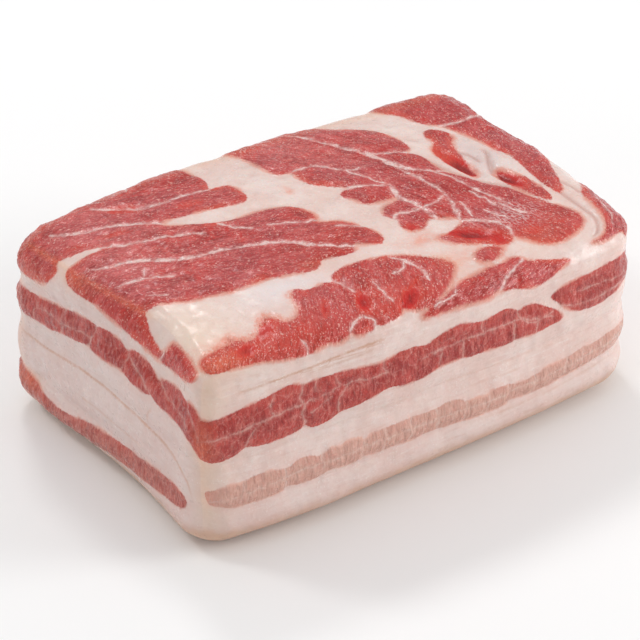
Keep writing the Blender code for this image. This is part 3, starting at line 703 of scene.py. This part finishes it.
# ---------------------------------------------------------------- materials
class Nodes:
    """Short ways to make shader nodes."""

    def __init__(self, material):
        self.tree = material.node_tree

    def put(self, kind, links=(), **settings):
        node = self.tree.nodes.new(kind)
        for key, value in settings.items():
            setattr(node, key, value)
        for key, value in dict(links).items():
            self.set(node.inputs[key], value)
        return node

    def set(self, socket, value):
        if isinstance(value, bpy.types.NodeSocket):
            self.tree.links.new(value, socket)
        else:
            socket.default_value = value

    def attribute(self, name):
        return self.put("ShaderNodeAttribute", attribute_name=name).outputs["Fac"]

    def vector(self, name):
        return self.put("ShaderNodeAttribute", attribute_name=name).outputs["Vector"]

    def math(self, operation, a, b=0.0, clamp=False):
        return self.put("ShaderNodeMath", {0: a, 1: b}, operation=operation, use_clamp=clamp).outputs[0]

    def add(self, a, b):
        return self.math("ADD", a, b)

    def less(self, a, b):
        return self.math("SUBTRACT", a, b)

    def times(self, a, b):
        return self.math("MULTIPLY", a, b)

    def most(self, a, b):
        return self.math("MAXIMUM", a, b)

    def ramp(self, x, low, high, to_low=0.0, to_high=1.0, kind="SMOOTHSTEP"):
        return self.put("ShaderNodeMapRange", {"Value": x, "From Min": low, "From Max": high, "To Min": to_low, "To Max": to_high},
                        interpolation_type=kind).outputs[0]

    def noise(self, vector, scale, detail=2.0, roughness=0.5, distortion=0.0):
        return self.put("ShaderNodeTexNoise", {"Vector": vector, "Scale": scale, "Detail": detail, "Roughness": roughness,
                                               "Distortion": distortion}).outputs["Fac"]

    def cells(self, vector, scale, feature="F1", randomness=1.0):
        return self.put("ShaderNodeTexVoronoi", {"Vector": vector, "Scale": scale, "Randomness": randomness}, feature=feature).outputs[0]

    def add_noise(self, vector, place):
        """The vector pushed about by a soft noise, so that cells get curved edges."""
        push = self.put("ShaderNodeTexNoise", {"Vector": place, "Scale": 0.35, "Detail": 2.0}).outputs["Color"]
        push = self.put("ShaderNodeVectorMath", {0: push, 3: 0.9}, operation="SCALE").outputs[0]
        return self.put("ShaderNodeVectorMath", {0: vector, 1: push}, operation="ADD").outputs[0]

    def stretch(self, vector, x, y, z):
        return self.put("ShaderNodeMapping", {"Vector": vector, "Scale": (x, y, z)}).outputs[0]

    def mix(self, share, one, other, blend="MIX"):
        node = self.put("ShaderNodeMix", data_type="RGBA", blend_type=blend)
        for socket, value in ((node.inputs[0], share), (node.inputs[6], one), (node.inputs[7], other)):
            self.set(socket, (*value, 1.0) if isinstance(value, tuple) else value)
        return node.outputs[2]


def belly_material(channels):
    material = bpy.data.materials.new("belly_meat")
    material.use_nodes = True
    g = Nodes(material)
    shader = material.node_tree.nodes["Principled BSDF"]
    place = g.put("ShaderNodeTexCoord").outputs["Object"]          # metres
    mm = g.put("ShaderNodeVectorMath", {0: place, 1: (1000.0, 1000.0, 1000.0)}, operation="MULTIPLY").outputs[0]
    fibre = g.vector("fibre")
    at = g.attribute
    sided = at("sided")

    # lean against fat: crisp in places and thinning out in others, frayed by the fibres that end there
    coarse = g.noise(mm, 0.40, 3.0, 0.6)
    fray = g.noise(mm, 1.3, 3.0, 0.65)
    fringe = g.noise(g.stretch(fibre, 0.5, 2.0, 1.0), 1.0, 3.0, 0.65)
    diffuse = at("diffuse")
    soft = g.times(g.ramp(g.noise(mm, 0.11, 2.0, 0.5), 0.40, 0.60, 0.28, 1.15), g.ramp(sided, 0.0, 1.0, 1.0, 0.62))
    soft = g.add(soft, g.times(diffuse, 1.7))
    ragged = g.add(g.ramp(sided, 0.0, 1.0, 0.62, 0.48), g.times(diffuse, 2.6))
    edge = g.add(at("lean"), g.times(g.add(g.times(g.less(coarse, 0.5), 1.4),
                                           g.add(g.times(g.less(fray, 0.5), 1.3), g.times(g.less(fringe, 0.5), 1.2))), ragged))
    lean = g.ramp(g.math("DIVIDE", edge, soft), -1.0, 1.0)
    thin = g.times(g.times(g.times(lean, g.less(1.0, lean)), 4.0), g.ramp(soft, 0.3, 0.85))
    near_lean = g.ramp(at("lean"), -2.6, 0.2)

    # veins: soft pale threads that fade and break
    wisp = g.less(g.noise(mm, 1.7, 3.0, 0.65), 0.5)
    wander = g.less(g.noise(mm, 0.55, 0.0, 0.5), 0.5)
    patch_vein = g.noise(mm, 0.21, 2.0, 0.5)
    strength = g.ramp(g.noise(mm, 0.33, 3.0, 0.6), 0.34, 0.60, 0.28, 1.0)
    slim = g.ramp(sided, 0.0, 1.0, 1.0, 0.62)
    veins = halo = None
    for number in range(channels):
        side, width = at(f"vein{number}"), at(f"width{number}")
        off = g.math("ABSOLUTE", g.add(g.add(side, g.times(wisp, 0.60)), g.times(wander, 0.95)))
        room = g.less(g.times(g.times(width, slim), g.add(0.82, g.add(g.times(wisp, 1.5), g.times(g.less(patch_vein, 0.5), 2.2)))), off)
        there = g.ramp(width, 0.03, 0.16)
        line = g.times(g.ramp(room, -0.26, 0.12), there)
        around = g.times(g.ramp(room, -1.05, -0.05), there)
        veins = line if veins is None else g.most(veins, line)
        halo = around if halo is None else g.most(halo, around)
    veins = g.times(g.times(veins, strength), g.ramp(sided, 0.0, 1.0, 0.88, 0.42))
    halo = g.times(g.times(halo, strength), g.ramp(sided, 0.0, 1.0, 0.30, 0.16))

    # lean colour
    blotch = g.noise(mm, 0.15, 3.0, 0.55)
    patch = g.noise(mm, 0.42, 3.0, 0.6)
    strand = g.noise(g.stretch(fibre, 0.42, 1.7, 0.9), 1.0, 3.0, 0.62)
    crumb = g.noise(g.stretch(fibre, 0.95, 1.7, 1.3), 1.0, 2.0, 0.6)
    bundle = g.noise(g.stretch(fibre, 0.10, 0.42, 0.3), 1.0, 2.0, 0.55)
    wide = g.noise(mm, 0.055, 2.0, 0.5)
    side_bundle = g.noise(g.stretch(fibre, 0.28, 0.5, 0.3), 1.0, 3.0, 0.6)
    meat = g.mix(g.ramp(blotch, 0.38, 0.62), LEAN_DARK, LEAN_MID)
    meat = g.mix(g.ramp(patch, 0.46, 0.66, 0.0, 0.80), meat, LEAN_RED)
    meat = g.mix(g.ramp(wide, 0.44, 0.58, 0.0, 0.60), meat, LEAN_MAUVE)
    meat = g.mix(g.ramp(bundle, 0.48, 0.68, 0.0, 0.65), meat, LEAN_PINK)
    meat = g.mix(g.ramp(bundle, 0.46, 0.30, 0.0, 0.55), meat, LEAN_DEEP)
    meat = g.mix(g.ramp(strand, 0.50, 0.74, 0.0, 0.45), meat, LEAN_LIGHT)
    meat = g.mix(g.ramp(strand, 0.50, 0.28, 0.0, 0.42), meat, LEAN_DEEP)
    meat = g.mix(g.ramp(crumb, 0.54, 0.74, 0.0, 0.40), meat, LEAN_LIGHT)
    side_meat = g.mix(g.ramp(blotch, 0.36, 0.64), SIDE_DARK, SIDE_MID)
    side_meat = g.mix(g.ramp(patch, 0.48, 0.70, 0.0, 0.55), side_meat, SIDE_RED)
    side_meat = g.mix(g.ramp(side_bundle, 0.50, 0.70, 0.0, 0.50), side_meat, SIDE_LIGHT)
    side_meat = g.mix(g.ramp(side_bundle, 0.46, 0.30, 0.0, 0.55), side_meat, SIDE_DEEP)
    side_meat = g.mix(g.ramp(strand, 0.50, 0.76, 0.0, 0.42), side_meat, SIDE_LIGHT)
    side_meat = g.mix(g.ramp(strand, 0.50, 0.28, 0.0, 0.34), side_meat, SIDE_DEEP)
    meat = g.mix(sided, meat, side_meat)
    low_meat = g.mix(g.ramp(strand, 0.32, 0.68), LOW_DARK, LOW_LIGHT)
    meat = g.mix(g.times(at("low"), 0.6), meat, low_meat)
    pale_meat = g.mix(g.ramp(strand, 0.24, 0.80, 0.15, 0.85), PALE_DARK, PALE_LIGHT)
    pale_meat = g.mix(g.ramp(patch, 0.42, 0.7, 0.0, 0.5), pale_meat, PALE_PINK)
    meat = g.mix(at("pale"), meat, pale_meat)
    where_seam = g.noise(mm, 0.25, 2.0, 0.6)
    # towards its edge the lean is brighter, where light comes through it
    lip = g.times(g.ramp(edge, 3.2, 0.5), g.ramp(g.noise(mm, 0.08, 2.0, 0.5), 0.42, 0.62, 0.12, 0.85))
    # bundles of fibres, with fine pale seams between them
    side_seam = g.times(g.ramp(g.cells(g.add_noise(g.stretch(fibre, 0.23, 0.27, 0.3), mm), 1.0, "DISTANCE_TO_EDGE"), 0.075, 0.0), g.ramp(where_seam, 0.36, 0.60, 0.15, 1.0))
    seam = g.times(g.times(side_seam, 0.30), sided)
    meat = g.mix(g.times(at("warm"), 0.60), meat, LEAN_WARM)
    meat = g.mix(g.times(at("deep"), g.ramp(patch, 0.35, 0.62, 0.50, 0.22)), meat, LEAN_FULL)
    meat = g.mix(g.times(at("milky"), g.ramp(patch, 0.35, 0.62, 0.25, 0.58)), meat, LEAN_MILKY)
    meat = g.mix(g.times(seam, g.ramp(at("pale"), 0.0, 1.0, 1.0, 0.3)), meat, SEAM)
    meat = g.mix(g.times(lip, g.ramp(g.add(at("pale"), g.times(sided, 0.6)), 0.0, 1.0, 0.75, 0.05)), meat, LEAN_EDGE)
    meat = g.mix(g.times(g.ramp(at("red"), 0.06, 0.34), g.ramp(strand, 0.72, 0.40, 0.30, 0.75)), meat, BLOOD_RIM)
    meat = g.mix(g.times(g.ramp(at("red"), 0.22, 0.62), g.ramp(strand, 0.78, 0.40, 0.65, 1.0)), meat, BLOOD)
    # dark blood red with painted shade in the depths of the deepest hollows
    meat = g.mix(g.ramp(at("red"), 0.62, 1.30, 0.0, 0.92), meat, BLOOD_DARK_SHADE)
    meat = g.mix(g.times(at("glow"), g.ramp(crumb, 0.35, 0.6, 0.35, 0.75)), meat, GLOW)
    # pale grains at the fibres' ends, lightened into painted wet sparkle
    grain = g.cells(g.stretch(fibre, 0.66, 1.05, 0.8), 1.0)
    grain_small = g.cells(g.stretch(fibre, 1.25, 1.9, 1.5), 1.0)
    where = g.noise(mm, 0.34, 2.0, 0.62)
    speck_and_sparkle = g.times(g.ramp(g.add(grain, g.times(g.less(fray, 0.5), 1.0)), 0.30, 0.12), g.ramp(where, 0.44, 0.62, 0.08, 0.70))
    small_speck_and_sparkle = g.times(g.ramp(grain_small, 0.36, 0.14), g.ramp(g.noise(mm, 0.6, 2.0, 0.6), 0.40, 0.60, 0.10, 0.90))
    speck_and_sparkle = g.most(speck_and_sparkle, small_speck_and_sparkle)
    share = g.times(g.times(speck_and_sparkle, g.ramp(sided, 0.0, 1.0, 0.86, 0.30)), g.ramp(at("red"), 0.15, 0.55, 1.0, 0.12))
    share = g.times(share, g.ramp(at("pale"), 0.0, 1.0, 1.0, 0.6))
    # painted highlight: the pale specks stand in for wet sparkle
    meat = g.mix(share, meat, SPECK_AND_SPARKLE)
    # painted highlight: near-white glints
    painted_glint_patch = g.times(at("glint"), g.ramp(crumb, 0.47, 0.56))
    meat = g.mix(g.times(painted_glint_patch, 0.42), meat, PAINTED_GLINT)

    # fat colour
    cloud = g.noise(mm, 0.075, 2.0, 0.55)
    streak = g.noise(g.stretch(mm, 0.12, 0.12, 1.1), 1.0, 3.0, 0.65)
    curd = g.noise(mm, 1.2, 2.0, 0.66)
    fat = g.mix(g.ramp(cloud, 0.35, 0.66), FAT_PINK, FAT_WHITE)
    fat = g.mix(g.ramp(streak, 0.52, 0.72, 0.0, 0.55), fat, FAT_PALE)
    fat = g.mix(g.ramp(streak, 0.46, 0.28, 0.0, 0.45), fat, FAT_DEEP)
    fat = g.mix(g.ramp(curd, 0.50, 0.28, 0.0, 0.26), fat, FAT_DEEP)
    fat = g.mix(g.ramp(curd, 0.58, 0.76, 0.0, 0.45), fat, FAT_BRIGHT)
    fat = g.mix(g.ramp(g.noise(mm, 0.22, 3.0, 0.6), 0.54, 0.76, 0.0, 0.35), fat, FAT_BLUSH)
    fat = g.mix(g.times(at("cream"), 0.75), fat, FAT_CREAM)
    # cooler grey fat; on the flap by the folds it is painted shade
    fat = g.mix(g.times(at("cool"), 0.7), fat, FAT_COOL)
    # painted shade: FAT_SHADE darkens the fat on the flap, the left end and the foot of the front
    fat = g.mix(g.times(at("flap_and_shade"), 0.62), fat, FAT_SHADE)
    fat = g.mix(g.times(near_lean, g.ramp(patch, 0.3, 0.7, 0.15, 0.55)), fat, FAT_BLUSH)
    fat = g.mix(g.times(at("blush"), g.ramp(patch, 0.35, 0.6, 0.3, 0.9)), fat, BLUSH)
    bleed = g.times(g.times(diffuse, g.ramp(at("lean"), -3.4, 0.2)), g.ramp(g.add(fray, g.times(g.less(coarse, 0.5), 0.8)), 0.36, 0.62, 0.08, 0.80))
    fat = g.mix(bleed, fat, FAT_BLEED)
    fat = g.mix(g.times(at("glow"), 0.45), fat, FAT_GLOW)
    tan = g.times(at("fascia"), g.ramp(g.math("ABSOLUTE", g.add(at("fascia_side"), g.times(wisp, 0.9))), 0.62, 0.05))
    fat = g.mix(g.times(tan, g.ramp(patch, 0.3, 0.6, 0.30, 0.85)), fat, FASCIA_TAN)
    # painted shade darkening the fat along the creases
    fat = g.mix(g.times(g.math("POWER", at("painted_crease"), 1.4), 0.62), fat, CREASE_SHADE)
    # painted highlight: tiny pale sparkles on the fat
    painted_fat_sparkle = g.times(g.ramp(grain_small, 0.34, 0.14), g.ramp(g.noise(mm, 0.28, 2.0, 0.6), 0.50, 0.66))
    fat = g.mix(g.times(painted_fat_sparkle, 0.55), fat, PAINTED_FAT_SPARKLE)

    vein_colour = g.mix(g.ramp(fray, 0.35, 0.65), VEIN_PINK, VEIN_WHITE)
    vein_colour = g.mix(sided, vein_colour, VEIN_SIDE)
    vein_colour = g.mix(at("pale"), vein_colour, VEIN_PALE)
    meat = g.mix(halo, meat, vein_colour)
    colour = g.mix(lean, fat, meat)
    colour = g.mix(g.times(thin, 0.45), colour, THIN)
    colour = g.mix(g.times(veins, g.ramp(lean, 0.2, 0.9)), colour, vein_colour)
    # skin, and the foot of the sides browner and darker: the skin's own brown with painted shade
    mottle = g.noise(mm, 0.3, 2.0, 0.6)
    skin = g.mix(g.ramp(mottle, 0.35, 0.65), SKIN_DARK, SKIN_LIGHT)
    pores = g.ramp(g.cells(mm, 0.9), 0.16, 0.30)
    skin = g.mix(g.ramp(pores, 1.0, 0.0, 0.0, 0.35), skin, SKIN_PORE)
    colour = g.mix(g.times(at("brown_foot_shade"), g.ramp(mottle, 0.3, 0.7, 0.30, 0.65)), colour, FOOT_BROWN_SHADE)
    colour = g.mix(at("skin"), colour, skin)
    g.set(shader.inputs["Base Color"], colour)

    # wetness
    rough = g.ramp(g.noise(mm, 0.5, 2.0, 0.6), 0.36, 0.64, 0.18, 0.38)
    rough_fat = g.ramp(g.noise(mm, 0.4, 2.0, 0.6), 0.3, 0.7, 0.24, 0.44)
    roughness = g.put("ShaderNodeMix", {0: lean, 2: rough_fat, 3: rough}, data_type="FLOAT").outputs[0]
    roughness = g.put("ShaderNodeMix", {0: at("skin"), 2: roughness, 3: 0.55}, data_type="FLOAT").outputs[0]
    roughness = g.put("ShaderNodeMix", {0: g.ramp(at("red"), 0.30, 0.70), 2: roughness, 3: 0.62}, data_type="FLOAT").outputs[0]
    g.set(shader.inputs["Roughness"], roughness)
    shader.inputs["Specular IOR Level"].default_value = 0.30
    shader.inputs["Coat Weight"].default_value = 0.16
    shader.inputs["Coat Roughness"].default_value = 0.17
    shader.inputs["Subsurface Weight"].default_value = 0.12
    shader.inputs["Subsurface Radius"].default_value = (1.0, 0.34, 0.22)
    shader.inputs["Subsurface Scale"].default_value = 0.0013

    # fine surface, in millimetres: fibres and grains in the lean, soft curd in the fat
    ripple = g.noise(g.stretch(fibre, 0.30, 0.80, 0.6), 1.0, 1.0, 0.5)
    lean_height = g.add(g.times(g.less(ripple, 0.5), 0.95),
                        g.times(g.less(g.noise(g.stretch(fibre, 0.95, 1.7, 1.3), 1.0, 1.0, 0.6), 0.5), 0.30))
    swell = g.noise(mm, 0.30, 0.0, 0.5)
    fat_height = g.add(g.add(g.times(g.less(g.noise(mm, 1.2, 1.0, 0.6), 0.5), 0.05), g.times(g.less(g.noise(g.stretch(mm, 0.12, 0.12, 1.1), 1.0, 1.0, 0.6), 0.5), 0.07)), g.times(g.less(swell, 0.5), 0.45))
    cover = g.ramp(at("lean"), -0.9, 0.9)
    height = g.put("ShaderNodeMix", {0: cover, 2: fat_height, 3: lean_height}, data_type="FLOAT").outputs[0]
    height = g.put("ShaderNodeMix", {0: at("skin"), 2: height, 3: 0.0}, data_type="FLOAT").outputs[0]
    height = g.times(height, g.ramp(sided, 0.0, 1.0, 1.0, 0.72))
    bump = g.put("ShaderNodeBump", {"Strength": 1.0, "Distance": 0.001, "Height": height})
    g.set(shader.inputs["Normal"], bump.outputs[0])
    return material


# Colours, linear
LEAN_DARK, LEAN_MID, LEAN_RED = (0.350, 0.020, 0.019), (0.500, 0.041, 0.037), (0.550, 0.025, 0.018)
LEAN_PINK, LEAN_LIGHT, LEAN_DEEP = (0.590, 0.112, 0.110), (0.760, 0.225, 0.195), (0.260, 0.007, 0.007)
LEAN_WARM, SEAM = (0.620, 0.058, 0.030), (0.720, 0.300, 0.260)
LEAN_FULL, LEAN_MILKY = (0.440, 0.013, 0.013), (0.690, 0.165, 0.155)
LEAN_EDGE, THIN, LEAN_MAUVE = (0.670, 0.090, 0.055), (0.790, 0.370, 0.265), (0.450, 0.066, 0.072)
SIDE_DARK, SIDE_MID, SIDE_LIGHT, SIDE_DEEP = (0.345, 0.032, 0.028), (0.480, 0.060, 0.050), (0.650, 0.190, 0.150), (0.255, 0.014, 0.012)
SIDE_RED, LOW_DARK, LOW_LIGHT = (0.490, 0.045, 0.033), (0.350, 0.085, 0.068), (0.620, 0.260, 0.205)
PALE_DARK, PALE_LIGHT, PALE_PINK = (0.560, 0.285, 0.225), (0.730, 0.450, 0.370), (0.620, 0.315, 0.260)
BLOOD, BLOOD_DARK_SHADE, BLOOD_RIM, GLOW = (0.550, 0.013, 0.009), (0.240, 0.004, 0.004), (0.650, 0.058, 0.032), (0.720, 0.155, 0.078)
SPECK_AND_SPARKLE, PAINTED_GLINT = (0.860, 0.470, 0.400), (0.960, 0.820, 0.800)
FAT_PINK, FAT_WHITE, FAT_PALE = (0.750, 0.555, 0.500), (0.790, 0.630, 0.580), (0.830, 0.700, 0.655)
FAT_DEEP, FAT_BRIGHT, FAT_CREAM, FAT_COOL = (0.670, 0.450, 0.390), (0.860, 0.760, 0.720), (0.800, 0.620, 0.500), (0.780, 0.700, 0.700)
FAT_BLUSH, BLUSH, FAT_GLOW, PAINTED_FAT_SPARKLE = (0.760, 0.490, 0.430), (0.780, 0.290, 0.200), (0.820, 0.430, 0.240), (0.900, 0.830, 0.800)
FASCIA_TAN, CREASE_SHADE, FAT_SHADE, FAT_BLEED = (0.590, 0.330, 0.230), (0.500, 0.235, 0.190), (0.640, 0.500, 0.480), (0.800, 0.330, 0.230)
VEIN_WHITE, VEIN_PINK, VEIN_SIDE, VEIN_PALE = (0.860, 0.680, 0.640), (0.780, 0.480, 0.440), (0.740, 0.460, 0.400), (0.780, 0.600, 0.530)
SKIN_DARK, SKIN_LIGHT, SKIN_PORE, FOOT_BROWN_SHADE = (0.625, 0.405, 0.298), (0.680, 0.450, 0.330), (0.400, 0.220, 0.150), (0.600, 0.330, 0.230)

slab, channels = slab_object()
slab.data.materials.append(belly_material(channels))
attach(slab, "root")
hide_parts("pork_belly_slab")

# ---------------------------------------------------------------- floor, light and camera
bpy.ops.mesh.primitive_plane_add(size=6.0, location=(0.0, 0.0, -0.0004))
floor = bpy.context.object
floor.name = "floor"
paint = bpy.data.materials.new("floor")
paint.use_nodes = True
n = Nodes(paint)
tone = n.ramp(n.noise(n.put("ShaderNodeTexCoord").outputs["Object"], 3.0, 2.0, 0.5), 0.3, 0.7)
n.set(paint.node_tree.nodes["Principled BSDF"].inputs["Base Color"], n.mix(tone, (0.90, 0.90, 0.90), (0.92, 0.92, 0.92)))
paint.node_tree.nodes["Principled BSDF"].inputs["Roughness"].default_value = 0.9
floor.data.materials.append(paint)

scene = bpy.context.scene
world = bpy.data.worlds.new("studio")
scene.world = world
world.use_nodes = True
sky = Nodes(world)
up = sky.put("ShaderNodeSeparateXYZ", {0: sky.put("ShaderNodeTexCoord").outputs["Generated"]}).outputs[2]
sky.set(world.node_tree.nodes["Background"].inputs[1], sky.ramp(up, 0.05, 0.95, 0.32, 0.80, kind="LINEAR"))
world.node_tree.nodes["Background"].inputs[0].default_value = (1.0, 1.0, 1.0, 1.0)


def softbox(name, place, aim, size, power):
    light = bpy.data.lights.new(name, "AREA")
    light.shape, light.size, light.energy = "DISK", size, power
    thing = bpy.data.objects.new(name, light)
    thing.location = place
    thing.rotation_euler = (Vector(aim) - Vector(place)).to_track_quat("-Z", "Y").to_euler()
    scene.collection.objects.link(thing)


softbox("key", (0.22, 0.62, 0.90), (0.0, 0.0, 0.03), 0.22, 2.1)
softbox("back_left", (-0.42, 0.52, 0.70), (0.0, 0.0, 0.03), 0.20, 1.5)
softbox("front", (0.74, -0.52, 0.34), (0.05, 0.0, 0.03), 0.45, 4.3)
softbox("left", (-0.95, -0.16, 0.42), (0.0, 0.0, 0.03), 0.45, 0.66)

azimuth, elevation = math.radians(-35.4), math.radians(32.8)
away = Vector((math.sin(azimuth) * math.cos(elevation), -math.cos(azimuth) * math.cos(elevation), math.sin(elevation)))
aim = Vector((-0.00604, -0.00221, 0.026))
lens = bpy.data.cameras.new("camera")
lens.lens, lens.sensor_width = 3750.0 / 640.0 * 36.0, 36.0
lens.clip_start, lens.clip_end = 0.05, 20.0
camera = bpy.data.objects.new("camera", lens)
camera.location = aim + away * 1.0
camera.rotation_euler = away.to_track_quat("Z", "Y").to_euler()
scene.collection.objects.link(camera)
scene.camera = camera
scene.view_settings.view_transform = "Standard"
